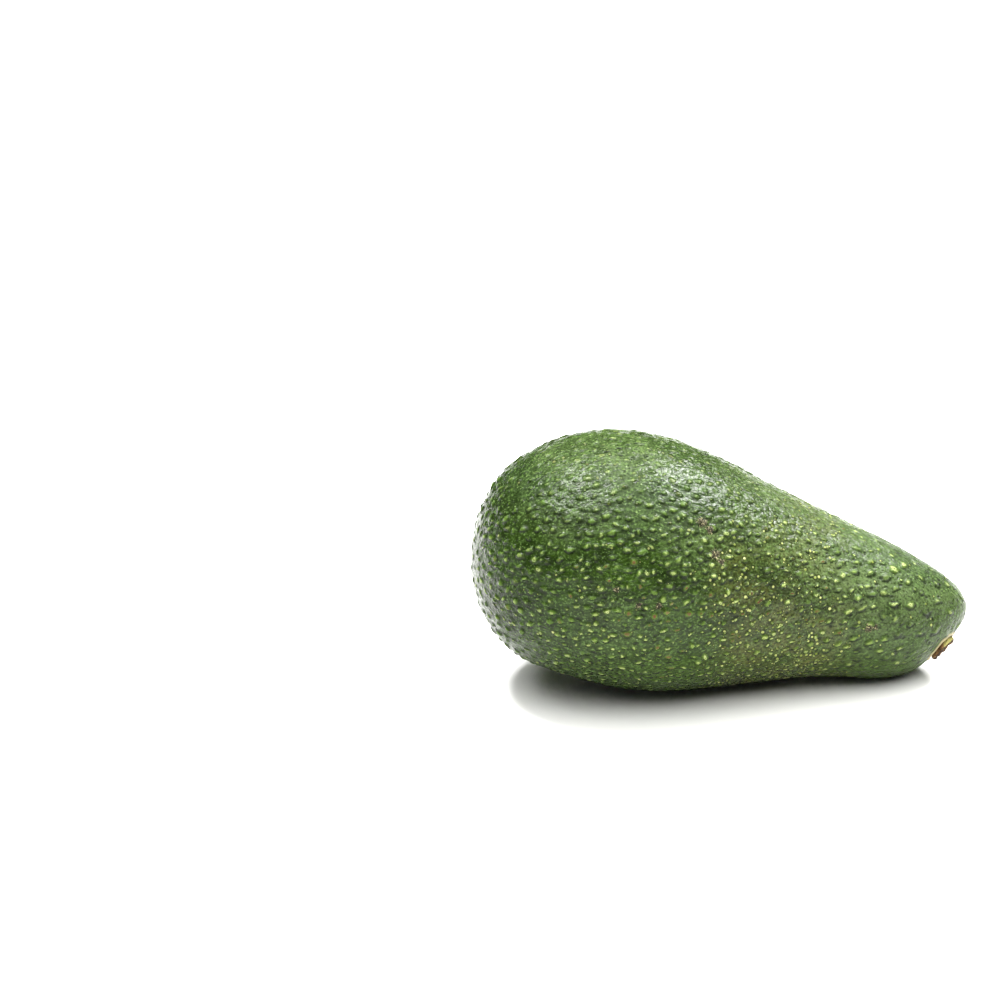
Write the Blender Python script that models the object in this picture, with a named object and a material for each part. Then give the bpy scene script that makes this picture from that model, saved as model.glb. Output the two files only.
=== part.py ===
"""Pear-shaped green avocado with a pebbled peel, lying on its side.

Run with: blender --background --python part.py

Metres, +Z up. X runs from the blossom end to the stem end. The origin is at the
centre of the footprint, on the surface that the fruit rests on. The fruit lies on
its belly and on the underside of its neck, and each of these has a small flat.
"""
import math
import random

import bmesh
import bpy
import numpy as np
from mathutils import Matrix, Vector

MM = 0.001
NAME = "avocado"

# Driving dimensions of the fruit, in millimetres.
LENGTH = 125.2
BLOSSOM_END_RADIUS = 35.8
STEM_END_RADIUS = 6.5
# Fraction of the length, half-width there, and height of the axis above the surface.
BODY_STATIONS = (
    (0.15, 28.4, 35.0),
    (0.30, 32.9, 33.9),
    (0.45, 31.0, 31.1),
    (0.60, 25.5, 26.6),
    (0.75, 20.4, 21.1),
    (0.90, 14.3, 16.6),
)
BLOSSOM_END_HEIGHT = 34.2
STEM_END_HEIGHT = 17.4
FLAT_DEPTH = 0.55
CUT_SNAP = 0.02

# Fineness of the steps that measure the smooth body.
AREA_STEPS = 4000
GROUND_STEPS = 400
NORMAL_STEP = 0.0005

# Slow unevenness of a grown body, as a share of the half-width.
UNEVEN_TWO = 0.010
UNEVEN_THREE = 0.008
UNEVEN_TWO_TURN = 0.6
UNEVEN_THREE_TURN = 1.9

# Pebbles of the peel, drawn coarser than the real 3.6 mm spacing.
PEBBLE_COUNT = 1180
PEBBLE_HEIGHT = 1.05
PEBBLE_SPREAD = 0.45
PEBBLE_JITTER = 0.8
PEBBLE_SEED = 11
PEBBLE_CREASE = 12.0
NECK_FADE_START = 0.66
NECK_FADE_END = 0.92
NECK_RELIEF = 0.35
FLAT_FADE = 3.2
EGG_BLUNT = 48.0
EGG_TAPER = 28.0
GOLDEN_ANGLE = math.pi * (3.0 - math.sqrt(5.0))

# The seat of the stem button, on the lower front of the narrow end.
SEAT_FRACTION = 0.945
SEAT_TURN = -126.0
SEAT_RADIUS = 3.85
SEAT_DEPTH = 1.5
DIMPLE_DEPTH = 1.0
DIMPLE_RADIUS = 6.0
SEAT_SIDES = 32
CUTTER_REACH = 5.0

# The stem button: a short cut stub, flared where it left the stalk. Each pair is a
# radius and a height above the seat's rim, from the foot round to the broken face.
BUTTON_PROFILE = (
    (0.0, -1.15),
    (1.8, -1.15),
    (3.2, -1.15),
    (3.2, -0.60),
    (3.5, 0.45),
    (3.5, 0.90),
    (3.25, 1.25),
    (2.8, 1.15),
    (2.2, 0.90),
    (1.5, 0.97),
    (0.7, 1.10),
    (0.0, 1.10),
)
BUTTON_SIDES = 36
FACE_START = 0.6
FACE_END = 1.2
LUMP_HEIGHT = 0.22
LUMP_WAVE_X = 2.2
LUMP_WAVE_Y = 2.6
LUMP_TURN = 0.7
BUTTON_CREASE = 30.0

PEEL_COLOUR = (0.058, 0.115, 0.034, 1.0)
PEEL_ROUGHNESS = 0.48
STEM_COLOUR = (0.19, 0.10, 0.045, 1.0)
STEM_ROUGHNESS = 0.85


def natural_spline(knots, values, at):
    """Values of the natural cubic spline through the knots, read at the given places."""
    x = np.asarray(knots, dtype=float)
    y = np.asarray(values, dtype=float)
    step = np.diff(x)
    slope = np.diff(y) / step
    system = np.eye(len(x))
    right = np.zeros(len(x))
    for i in range(1, len(x) - 1):
        system[i, i - 1] = step[i - 1]
        system[i, i] = 2.0 * (step[i - 1] + step[i])
        system[i, i + 1] = step[i]
        right[i] = 6.0 * (slope[i] - slope[i - 1])
    bend = np.linalg.solve(system, right)
    at = np.clip(np.asarray(at, dtype=float), x[0], x[-1])
    i = np.clip(np.searchsorted(x, at) - 1, 0, len(step) - 1)
    h = step[i]
    a = (x[i + 1] - at) / h
    b = (at - x[i]) / h
    curved = (a ** 3 - a) * bend[i] + (b ** 3 - b) * bend[i + 1]
    return a * y[i] + b * y[i + 1] + curved * h * h / 6.0


def smooth_step(low, high, value):
    """0 below low, 1 above high, with a soft ramp between them."""
    ramp = min(max((value - low) / (high - low), 0.0), 1.0)
    return ramp * ramp * (3.0 - 2.0 * ramp)


def round_end(fraction):
    """Half-width of a unit ellipse, which gives both ends their rounding."""
    return 2.0 * math.sqrt(max(fraction * (1.0 - fraction), 0.0))


KNOTS = [0.0] + [s[0] for s in BODY_STATIONS] + [1.0]
FULLNESS = (
    [math.sqrt(BLOSSOM_END_RADIUS * LENGTH / 2.0)]
    + [s[1] / round_end(s[0]) for s in BODY_STATIONS]
    + [math.sqrt(STEM_END_RADIUS * LENGTH / 2.0)]
)
HEIGHTS = [BLOSSOM_END_HEIGHT] + [s[2] for s in BODY_STATIONS] + [STEM_END_HEIGHT]


def half_width(fraction):
    """Half-width of the smooth body in millimetres."""
    return round_end(fraction) * float(natural_spline(KNOTS, FULLNESS, fraction))


def axis_height(fraction):
    """Height of the body's axis above the surface in millimetres."""
    return float(natural_spline(KNOTS, HEIGHTS, fraction))


def body_point(fraction, turn):
    """Point of the smooth body in metres; turn is measured from +Y towards +Z."""
    upper = 0.5 * (1.0 + math.sin(turn))
    two = UNEVEN_TWO * math.cos(2.0 * turn + UNEVEN_TWO_TURN) * math.sin(math.pi * fraction)
    three = UNEVEN_THREE * math.cos(3.0 * turn + UNEVEN_THREE_TURN)
    three = three * math.sin(2.0 * math.pi * fraction)
    width = half_width(fraction) * (1.0 + (two + three) * upper)
    along = LENGTH * fraction
    across = width * math.cos(turn)
    above = axis_height(fraction) + width * math.sin(turn)
    return Vector((along, across, above)) * MM


def body_normal(fraction, turn):
    """Outward normal of the smooth body."""
    step = NORMAL_STEP
    forward = body_point(fraction + step, turn) - body_point(fraction - step, turn)
    around = body_point(fraction, turn + step) - body_point(fraction, turn - step)
    return around.cross(forward).normalized()


SEAT_POINT = body_point(SEAT_FRACTION, math.radians(SEAT_TURN))
SEAT_AXIS = body_normal(SEAT_FRACTION, math.radians(SEAT_TURN))


def seat_distance(point):
    """Distance in millimetres of a point from the middle of the stem seat."""
    return (point - SEAT_POINT).length / MM


def pebble_places(count):
    """Fractions and turns of pebbles that each get the same share of the peel."""
    fraction = np.linspace(0.0, 1.0, AREA_STEPS + 1)
    fullness = natural_spline(KNOTS, FULLNESS, fraction)
    width = 2.0 * np.sqrt(fraction * (1.0 - fraction)) * fullness
    ring = (width[1:] + width[:-1]) * np.hypot(np.diff(width), LENGTH / AREA_STEPS)
    share = np.concatenate([[0.0], np.cumsum(ring)])
    share = share / share[-1]
    cell = math.pi * float(ring.sum()) / count
    draw = random.Random(PEBBLE_SEED)
    places = []
    for k in range(count):
        middle = float(np.interp((k + 0.5) / count, share, fraction))
        local = max(half_width(middle), STEM_END_RADIUS)
        rows = PEBBLE_JITTER * 2.0 * math.pi * local / cell
        rank = k + 0.5 + rows * draw.uniform(-1.0, 1.0)
        rank = min(max(rank, 0.5), count - 0.5)
        at = float(np.interp(rank / count, share, fraction))
        turn = k * GOLDEN_ANGLE + PEBBLE_JITTER * draw.uniform(-1.0, 1.0) / local
        places.append((at, turn, draw.uniform(PEBBLE_SPREAD, 1.0)))
    return places


def egg_point(fraction, turn):
    """Point of a smooth convex egg; a hull round it joins neighbouring pebbles."""
    width = round_end(fraction) * (EGG_BLUNT - EGG_TAPER * fraction)
    along = LENGTH * fraction
    return Vector((along, width * math.cos(turn), width * math.sin(turn))) * MM


def relief_share(point, fraction):
    """How much of the pebble relief stands at a point of the smooth body."""
    neck = smooth_step(NECK_FADE_START, NECK_FADE_END, fraction)
    share = 1.0 + (NECK_RELIEF - 1.0) * neck
    share = share * smooth_step(0.0, FLAT_FADE, point.z / MM)
    return share * smooth_step(SEAT_RADIUS, 2.0 * DIMPLE_RADIUS, seat_distance(point))


def make_fruit():
    """The peel as one closed body: pebbles raised on the pear form, with two flats."""
    bm = bmesh.new()
    heights = []
    for fraction, turn, height in pebble_places(PEBBLE_COUNT):
        bm.verts.new(egg_point(fraction, turn))
        heights.append(height)
    for end in (0.0, 1.0):
        bm.verts.new(egg_point(end, 0.0))
        heights.append(PEBBLE_SPREAD)
    bmesh.ops.convex_hull(bm, input=bm.verts[:], use_existing_faces=False)
    # The pebbles keep their place in the list; the vertices that halve the edges come
    # after them and lie in the valleys.
    bmesh.ops.subdivide_edges(bm, edges=bm.edges[:], cuts=1, use_grid_fill=True)
    bmesh.ops.triangulate(bm, faces=bm.faces[:])
    bm.verts.index_update()
    heights.extend([0.0] * (len(bm.verts) - len(heights)))

    fractions = [min(max(vert.co.x / (LENGTH * MM), 0.0), 1.0) for vert in bm.verts]
    for vert, fraction in zip(bm.verts, fractions):
        vert.co = body_point(fraction, math.atan2(vert.co.z, vert.co.y))
    bmesh.ops.recalc_face_normals(bm, faces=bm.faces[:])
    bm.normal_update()
    raised = []
    for vert, fraction, height in zip(bm.verts, fractions, heights):
        lift = PEBBLE_HEIGHT * (height - 0.5) * relief_share(vert.co, fraction)
        sink = DIMPLE_DEPTH * math.exp(-(seat_distance(vert.co) / DIMPLE_RADIUS) ** 2)
        raised.append(vert.co + vert.normal * lift * MM - SEAT_AXIS * sink * MM)
    for vert, place in zip(bm.verts, raised):
        vert.co = place

    under = -math.pi / 2.0
    ground = min(body_point(i / GROUND_STEPS, under).z for i in range(GROUND_STEPS + 1))
    level = Vector((0.0, 0.0, ground + FLAT_DEPTH * MM))
    everything = bm.verts[:] + bm.edges[:] + bm.faces[:]
    bmesh.ops.bisect_plane(bm, geom=everything, dist=CUT_SNAP * MM, plane_co=level,
                           plane_no=(0.0, 0.0, 1.0), clear_inner=True)
    rim = [edge for edge in bm.edges if edge.is_boundary]
    for edge in rim:
        for vert in edge.verts:
            vert.co.z = level.z
    bmesh.ops.holes_fill(bm, edges=rim, sides=0)
    bmesh.ops.recalc_face_normals(bm, faces=bm.faces[:])
    bmesh.ops.translate(bm, verts=bm.verts[:], vec=-level)
    return bm, level


def seat_frame(level):
    """Matrix that stands a piece's own +Z on the stem seat."""
    turn = SEAT_AXIS.to_track_quat("Z", "Y").to_matrix().to_4x4()
    floor = SEAT_POINT - SEAT_AXIS * DIMPLE_DEPTH * MM - level
    return Matrix.Translation(floor) @ turn


def make_seat_cutter(level):
    """Short cylinder that cuts the recess of the stem button."""
    bm = bmesh.new()
    bmesh.ops.create_cone(bm, cap_ends=True, segments=SEAT_SIDES, radius1=SEAT_RADIUS * MM,
                          radius2=SEAT_RADIUS * MM, depth=(SEAT_DEPTH + CUTTER_REACH) * MM)
    middle = (CUTTER_REACH - SEAT_DEPTH) / 2.0
    bmesh.ops.translate(bm, verts=bm.verts[:], vec=(0.0, 0.0, middle * MM))
    bmesh.ops.transform(bm, matrix=seat_frame(level), verts=bm.verts[:])
    return bm


def make_button(level):
    """Turned stub with a flared rim and a lumpy broken face."""
    bm = bmesh.new()
    line = [bm.verts.new((radius * MM, 0.0, height * MM)) for radius, height in BUTTON_PROFILE]
    edges = [bm.edges.new(pair) for pair in zip(line[:-1], line[1:])]
    bmesh.ops.spin(bm, geom=line + edges, cent=(0.0, 0.0, 0.0), axis=(0.0, 0.0, 1.0),
                   angle=2.0 * math.pi, steps=BUTTON_SIDES, use_merge=True)
    bmesh.ops.remove_doubles(bm, verts=bm.verts[:], dist=CUT_SNAP * MM)
    bmesh.ops.recalc_face_normals(bm, faces=bm.faces[:])
    for vert in bm.verts:
        share = smooth_step(FACE_START, FACE_END, vert.co.z / MM)
        wave_x = math.sin(2.0 * math.pi * vert.co.x / (LUMP_WAVE_X * MM) + LUMP_TURN)
        wave_y = math.cos(2.0 * math.pi * vert.co.y / (LUMP_WAVE_Y * MM) - LUMP_TURN)
        vert.co.z += LUMP_HEIGHT * MM * share * wave_x * wave_y
    bmesh.ops.transform(bm, matrix=seat_frame(level), verts=bm.verts[:])
    return bm


def make_material(name, colour, roughness):
    """Principled material with one colour and roughness."""
    material = bpy.data.materials.new(name)
    material.use_nodes = True
    shader = material.node_tree.nodes["Principled BSDF"]
    shader.inputs["Base Color"].default_value = colour
    shader.inputs["Roughness"].default_value = roughness
    shader.inputs["Metallic"].default_value = 0.0
    material.diffuse_color = colour
    return material


def add_object(name, bm, collection, crease, material=None):
    """Make an object from a bmesh; edges sharper than the crease angle stay crisp."""
    mesh = bpy.data.meshes.new(name)
    bm.to_mesh(mesh)
    bm.free()
    if material is not None:
        mesh.materials.append(material)
    mesh.shade_smooth()
    mesh.set_sharp_from_angle(angle=math.radians(crease))
    item = bpy.data.objects.new(name, mesh)
    collection.objects.link(item)
    return item


def main():
    for item in list(bpy.data.objects):
        bpy.data.objects.remove(item, do_unlink=True)
    scene = bpy.context.scene
    scene.unit_settings.system = "METRIC"
    part = bpy.data.collections.new(NAME)
    cutters = bpy.data.collections.new("cutters")
    scene.collection.children.link(part)
    scene.collection.children.link(cutters)

    peel = make_material("green pebbled peel", PEEL_COLOUR, PEEL_ROUGHNESS)
    wood = make_material("dry stem wood", STEM_COLOUR, STEM_ROUGHNESS)
    body, level = make_fruit()
    fruit = add_object("fruit", body, part, PEBBLE_CREASE, peel)
    cutter = add_object("stem_seat_cutter", make_seat_cutter(level), cutters, BUTTON_CREASE)
    button = add_object("stem_button", make_button(level), part, BUTTON_CREASE, wood)
    cutter.hide_render = True
    cutter.display_type = "WIRE"
    seat = fruit.modifiers.new("stem seat", "BOOLEAN")
    seat.operation = "DIFFERENCE"
    seat.solver = "EXACT"
    seat.object = cutter

    # The origin goes to the middle of the footprint.
    corners = [v.co for item in (fruit, button) for v in item.data.vertices]
    middle_x = (min(c.x for c in corners) + max(c.x for c in corners)) / 2.0
    middle_y = (min(c.y for c in corners) + max(c.y for c in corners)) / 2.0
    for item in (fruit, button, cutter):
        item.data.transform(Matrix.Translation((-middle_x, -middle_y, 0.0)))


main()
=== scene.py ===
# %% [markdown]
# # A pear-shaped green avocado with a pebbled peel
#
# The fruit lies on its belly and on the underside of its neck. Its peel is a tough green
# skin, raised in small blunt pebbles. Most pebbles carry a pore, a pale yellow-green speck of
# cork, and finer cream pores lie between them. At the narrow end the short stub of the
# stalk sits in a shallow seat.
#
# The lesson goes from the smooth form to the relief, then to the finishes, and last to the
# table and the light. All the making works in millimetres and is turned into metres at the
# end. No picture data is used: every mark is a formula or a seeded draw.

# %% Load the measured frame
import math

import bmesh
import bpy
import numpy as np
from mathutils import Matrix, Vector, noise
from mathutils.kdtree import KDTree


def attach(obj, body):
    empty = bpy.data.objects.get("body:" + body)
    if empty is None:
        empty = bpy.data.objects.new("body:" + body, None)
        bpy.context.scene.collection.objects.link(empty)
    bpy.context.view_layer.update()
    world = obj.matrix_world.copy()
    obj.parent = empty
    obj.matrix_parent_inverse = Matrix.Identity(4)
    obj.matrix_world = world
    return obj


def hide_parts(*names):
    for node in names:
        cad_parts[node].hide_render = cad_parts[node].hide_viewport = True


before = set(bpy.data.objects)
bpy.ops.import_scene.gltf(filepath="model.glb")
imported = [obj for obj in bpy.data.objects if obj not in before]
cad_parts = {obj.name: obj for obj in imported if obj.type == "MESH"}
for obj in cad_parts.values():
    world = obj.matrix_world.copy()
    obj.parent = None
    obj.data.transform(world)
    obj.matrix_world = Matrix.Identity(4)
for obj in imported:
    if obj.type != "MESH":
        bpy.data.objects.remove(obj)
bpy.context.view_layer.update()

MM = 0.001

# %% [markdown]
# ## The smooth form
#
# A fruit like this grows round a gently bent axis. Its half-width and the height of its
# axis are given at a few stations, and a natural cubic spline joins them. The half-width is
# split into a unit ellipse, which rounds both ends, and a fullness that changes slowly. A
# plain spline through the widths would leave a point or a flat at the ends.

# %% Form of the fruit
LENGTH = 125.2
BLOSSOM_END_RADIUS = 35.8
STEM_END_RADIUS = 6.5
STATIONS = (
    # fraction of the length, half-width, height of the axis
    (0.15, 28.4, 35.0),
    (0.30, 32.9, 33.9),
    (0.45, 31.0, 31.1),
    (0.60, 25.5, 26.6),
    (0.75, 20.4, 21.1),
    (0.90, 14.3, 16.6),
)
BLOSSOM_END_HEIGHT = 34.2
STEM_END_HEIGHT = 17.4
# Taken off every point, so that the origin lies under the middle of the fruit, on the table.
MIDDLE = np.array([62.367, -0.085, 0.514])
# Two and three soft sides round the fruit, as shares of the half-width, and where they start.
UNEVEN_TWO, UNEVEN_TWO_TURN = 0.010, 0.6
UNEVEN_THREE, UNEVEN_THREE_TURN = 0.008, 1.9
print("length and greatest half-width of the stations mm", LENGTH, max(s[1] for s in STATIONS))

# %% Spline through the stations


def natural_spline(knots, values, at):
    """Values of the natural cubic spline through the knots, read at the given places."""
    x, y = np.asarray(knots, float), np.asarray(values, float)
    step = np.diff(x)
    slope = np.diff(y) / step
    system, right = np.eye(len(x)), np.zeros(len(x))
    for i in range(1, len(x) - 1):
        system[i, i - 1:i + 2] = step[i - 1], 2.0 * (step[i - 1] + step[i]), step[i]
        right[i] = 6.0 * (slope[i] - slope[i - 1])
    bend = np.linalg.solve(system, right)
    at = np.clip(at, x[0], x[-1])
    i = np.clip(np.searchsorted(x, at) - 1, 0, len(step) - 1)
    h = step[i]
    a, b = (x[i + 1] - at) / h, (at - x[i]) / h
    curved = (a ** 3 - a) * bend[i] + (b ** 3 - b) * bend[i + 1]
    return a * y[i] + b * y[i + 1] + curved * h * h / 6.0


def round_end(fraction):
    return 2.0 * np.sqrt(np.clip(fraction * (1.0 - fraction), 0.0, None))


KNOTS = [0.0] + [s[0] for s in STATIONS] + [1.0]
FULLNESS = (
    [math.sqrt(BLOSSOM_END_RADIUS * LENGTH / 2.0)]
    + [s[1] / round_end(s[0]) for s in STATIONS]
    + [math.sqrt(STEM_END_RADIUS * LENGTH / 2.0)]
)
HEIGHTS = [BLOSSOM_END_HEIGHT] + [s[2] for s in STATIONS] + [STEM_END_HEIGHT]


def half_width(fraction):
    return round_end(fraction) * natural_spline(KNOTS, FULLNESS, fraction)


print("greatest half-width mm", round(float(half_width(np.linspace(0, 1, 500)).max()), 2))

# %% Points and directions of the form


def body(fraction, turn):
    """Points of the smooth form; turn is measured from +Y towards +Z."""
    upper = 0.5 * (1.0 + np.sin(turn))
    two = UNEVEN_TWO * np.cos(2.0 * turn + UNEVEN_TWO_TURN) * np.sin(np.pi * fraction)
    three = UNEVEN_THREE * np.cos(3.0 * turn + UNEVEN_THREE_TURN)
    three = three * np.sin(2.0 * np.pi * fraction)
    width = half_width(fraction) * (1.0 + (two + three) * upper)
    above = natural_spline(KNOTS, HEIGHTS, fraction) + width * np.sin(turn)
    return np.stack([LENGTH * fraction, width * np.cos(turn), above], -1) - MIDDLE


def unit(v):
    return v / np.maximum(np.linalg.norm(v, axis=-1, keepdims=True), 1e-12)


def body_frame(fraction, turn, step=0.0004):
    """Outward normal, and the directions along and around the fruit."""
    f0, f1 = np.clip(fraction - step, 1e-5, 1 - 1e-5), np.clip(fraction + step, 1e-5, 1 - 1e-5)
    along = unit(body(f1, turn) - body(f0, turn))
    around = unit(body(fraction, turn + 0.01) - body(fraction, turn - 0.01))
    return unit(np.cross(around, along)), along, around


def ramp(low, high, value):
    """0 below low, 1 above high, with a soft ramp between them."""
    share = np.clip((value - low) / (high - low), 0.0, 1.0)
    return share * share * (3.0 - 2.0 * share)


print("middle of the crown mm", body(np.array([0.5]), np.array([math.pi / 2]))[0].round(2))

# %% [markdown]
# ## The seat of the stem button
#
# The stalk of this fruit stood askew, so the seat is on the lower front of the narrow end.
# The peel sinks towards it and puckers a little, and a low corky lip stands round it.

# %% Place of the seat
SEAT_FRACTION, SEAT_TURN = 0.945, math.radians(-126.0)
SEAT_DEPTH = 1.5
DIMPLE_DEPTH, DIMPLE_RADIUS = 1.0, 6.0
seat_at = np.array([SEAT_FRACTION]), np.array([SEAT_TURN])
SEAT_POINT = body(*seat_at)[0]
SEAT_AXIS = body_frame(*seat_at)[0][0]
print("seat at", SEAT_POINT.round(2), "facing", SEAT_AXIS.round(2))

# %% [markdown]
# ## Where the pebbles are
#
# Grown pebbles keep a least distance from each other but follow no grid. A seeded throw of
# points does the same: a point is kept only where no kept point is too near. The least
# distance is about 2.5 mm on the belly and a little more on the neck. They crowd in the belt
# where the belly turns into the neck, and thin out round the stem end. A regular lattice
# would be simpler, but its rows would show.

# %% Throw the pebbles
PEBBLE_SEED = 29
THROWS = 60000
# Least distances between pebbles in mm, and how much closer they stand in the belt.
BELLY_GAP, NECK_GAP, TIP_GAP = 2.45, 2.65, 4.4
BELT_CLOSER = 0.50


def belt_share(fraction):
    """1 in the belt where the belly turns into the neck, 0 away from it."""
    return ramp(0.42, 0.54, fraction) * (1.0 - ramp(0.66, 0.78, fraction))


def least_gap(fraction):
    gap = BELLY_GAP + (NECK_GAP - BELLY_GAP) * ramp(0.40, 0.60, fraction)
    gap = gap - BELT_CLOSER * belt_share(fraction)
    return gap + (TIP_GAP - NECK_GAP) * ramp(0.74, 0.90, fraction)


def area_share(steps=3000):
    """Fractions of the length and the share of the peel that lies before each."""
    fraction = np.linspace(0.0, 1.0, steps + 1)
    width = half_width(fraction)
    strip = (width[1:] + width[:-1]) * np.hypot(np.diff(width), LENGTH / steps)
    share = np.concatenate([[0.0], np.cumsum(strip)])
    return fraction, share / share[-1]


draw = np.random.default_rng(PEBBLE_SEED)
fine_fraction, fine_share = area_share()
try_fraction = np.interp(draw.random(THROWS), fine_share, fine_fraction)
try_turn = draw.uniform(-np.pi, np.pi, THROWS)
try_point = body(try_fraction, try_turn)
# Boxes as wide as the greatest gap: only a point's own box and those beside it are searched.
BOX = TIP_GAP
boxes = {}
kept = []
for i, (point, gap) in enumerate(zip(try_point, least_gap(try_fraction))):
    key = tuple(int(v // BOX) for v in point)
    near = [
        j
        for dx in (-1, 0, 1)
        for dy in (-1, 0, 1)
        for dz in (-1, 0, 1)
        for j in boxes.get((key[0] + dx, key[1] + dy, key[2] + dz), ())
    ]
    if all(((try_point[j] - point) ** 2).sum() > gap * gap for j in near):
        boxes.setdefault(key, []).append(i)
        kept.append(i)
kept = np.array(kept)
print("pebbles", len(kept))

# %% Companions, sizes and tones
# Many a pebble has a smaller one close beside it, mostly in the direction of the length:
# how many do, how far away in mm, how much smaller, and how far it swings off, in radians.
COMPANION_SHARE, COMPANION_AWAY = 0.30, (1.5, 2.0)
COMPANION_SMALLER, COMPANION_SWING = 0.72, 0.7
# Radii in mm. A pebble's height is a share of its radius, and so is the size of its pore.
# Pebbles are smaller in the belt and larger on the neck, and faint ones are lower.
LEAST_RADIUS, RADIUS_RANGE = 0.64, 0.68
BELT_SMALLER, NECK_LARGER = 0.16, 0.10
HEIGHT_SHARE, GREATEST_HEIGHT = (0.40, 0.66), 0.60
FAINT_SHARE, FAINT_HEIGHT = 0.22, 0.40
LEAN_SPREAD, DRAWN_OUT = 0.40, (1.0, 2.1)
PORE_SHARE = (0.34, 0.64)

first = try_fraction[kept], try_turn[kept]
paired = draw.random(len(kept)) < COMPANION_SHARE
away = draw.uniform(*COMPANION_AWAY, paired.sum())
heading = draw.normal(0.0, COMPANION_SWING, paired.sum())
heading += np.where(draw.random(paired.sum()) < 0.5, 0.0, np.pi)
next_fraction = first[0][paired] + away * np.cos(heading) / LENGTH
on_fruit = (next_fraction > 0.01) & (next_fraction < 0.99)
next_width = half_width(np.clip(next_fraction, 0.01, 0.99))
next_turn = first[1][paired] + away * np.sin(heading) / next_width
pebble_fraction = np.concatenate([first[0], next_fraction[on_fruit]])
pebble_turn = np.concatenate([first[1], next_turn[on_fruit]])
pebble_point = body(pebble_fraction, pebble_turn)
count = len(pebble_point)
pebble_radius = LEAST_RADIUS + RADIUS_RANGE * draw.beta(1.6, 2.2, count)
pebble_radius[len(first[0]):] *= COMPANION_SMALLER
pebble_radius *= 1.0 - BELT_SMALLER * belt_share(pebble_fraction)
pebble_radius *= 1.0 + NECK_LARGER * ramp(0.66, 0.78, pebble_fraction)
pebble_height = pebble_radius * draw.uniform(*HEIGHT_SHARE, count)
pebble_height = np.minimum(pebble_height, GREATEST_HEIGHT)
pebble_height[draw.random(count) < FAINT_SHARE] *= FAINT_HEIGHT
pebble_lean = draw.normal(0.0, LEAN_SPREAD, count)
pebble_long = draw.uniform(*DRAWN_OUT, count)
pebble_tone = draw.random(count)
pebble_rust = draw.random(count)
pore_size = pebble_radius * draw.uniform(*PORE_SHARE, count)
print("with companions", count, "mean radius mm", round(float(pebble_radius.mean()), 2))

# %% [markdown]
# ## The peel as one closed skin
#
# The skin starts as a sphere of rings. Each ring goes to its own fraction of the length, so
# that the rings are evenly spaced along the outline, and each vertex takes its place on the
# form. On the show side the vertices stand closer. The relief is a real displacement: a
# pebble is a small blunt hill, drawn out along the fruit and bent a little out of round, and
# the skin between the pebbles rolls softly. The hills are lower on top of the fruit, low down
# and round the stem end. The finest grain is left to the finish, because it is thinner than
# the mesh.

# %% Rings of the skin
AROUND, ALONG = 346, 284
SHOW_TURN, SHOW_CLOSER = math.radians(158.0), 0.28

bm = bmesh.new()
bmesh.ops.create_uvsphere(bm, u_segments=AROUND, v_segments=ALONG, radius=1.0)
skin = bpy.data.meshes.new("peel")
bm.to_mesh(skin)
bm.free()
ball = np.empty(len(skin.vertices) * 3)
skin.vertices.foreach_get("co", ball)
ball = ball.reshape(-1, 3)
polar = np.arccos(np.clip(-ball[:, 2], -1.0, 1.0)) / np.pi
turn = np.arctan2(ball[:, 1], ball[:, 0])
turn = turn - SHOW_CLOSER * np.sin(turn - SHOW_TURN)
outline = np.stack([LENGTH * fine_fraction, half_width(fine_fraction)], -1)
walk = np.concatenate([[0.0], np.cumsum(np.linalg.norm(np.diff(outline, axis=0), axis=1))])
fraction = np.interp(polar, walk / walk[-1], fine_fraction)
place = body(fraction, turn)
normal, along, around = body_frame(fraction, turn)
poles = (fraction < 1e-4) | (fraction > 1 - 1e-4)
normal[poles] = np.where(fraction[poles, None] < 0.5, (-1.0, 0.0, 0.0), (1.0, 0.0, 0.0))
print("vertices", len(place), "outline mm", round(float(walk[-1]), 1))

# %% Relief of the peel
NEIGHBOURS = 6
HILL_POWER = 1.4
WARP, WARP_SIZE = 1.8, 0.48
# Vector noise reads the noise module's own random state, so that is seeded as well.
noise.seed_set(PEBBLE_SEED)
warp = np.array([noise.noise_vector(Vector(p) / WARP) for p in place]) * WARP_SIZE
pebble_tree = KDTree(count)
for i, point in enumerate(pebble_point):
    pebble_tree.insert(point, i)
pebble_tree.balance()
bent_place = place + warp
found = [pebble_tree.find_n(p, NEIGHBOURS) for p in bent_place]
nearest = np.array([[hit[1] for hit in hits] for hits in found])
# How much nearer the first pebble is than the second: nought on the border between two.
ahead = np.array([hits[1][2] - hits[0][2] for hits in found])

relief = np.zeros(len(place))
for column in range(NEIGHBOURS):
    k = nearest[:, column]
    apart = bent_place - pebble_point[k]
    a, b = (apart * along).sum(1), (apart * around).sum(1)
    cos, sin = np.cos(pebble_lean[k]), np.sin(pebble_lean[k])
    stretch = np.sqrt(pebble_long[k])
    u, v = (a * cos + b * sin) / stretch, (b * cos - a * sin) * stretch
    reach = np.clip(1.0 - (u * u + v * v) / pebble_radius[k] ** 2, 0.0, 1.0)
    relief = np.maximum(relief, pebble_height[k] * reach ** HILL_POWER)
    if column == 0:
        pore = np.stack([u, v], -1)
        foot = np.sqrt(u * u + v * v) / pebble_radius[k]
        # How far down its pebble a point lies, for the shade that the finish gives there: the
        # mesh can't make the hills as steep as the real ones.
        upright = 1.0 - ramp(0.70, 0.95, normal[:, 2])
        downhill = unit(normal * normal[:, 2:] - (0.0, 0.0, 1.0))
        under = (apart * downhill).sum(1) / pebble_radius[k] * upright

print("hills mm up to", round(float(relief.max()), 2))

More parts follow.
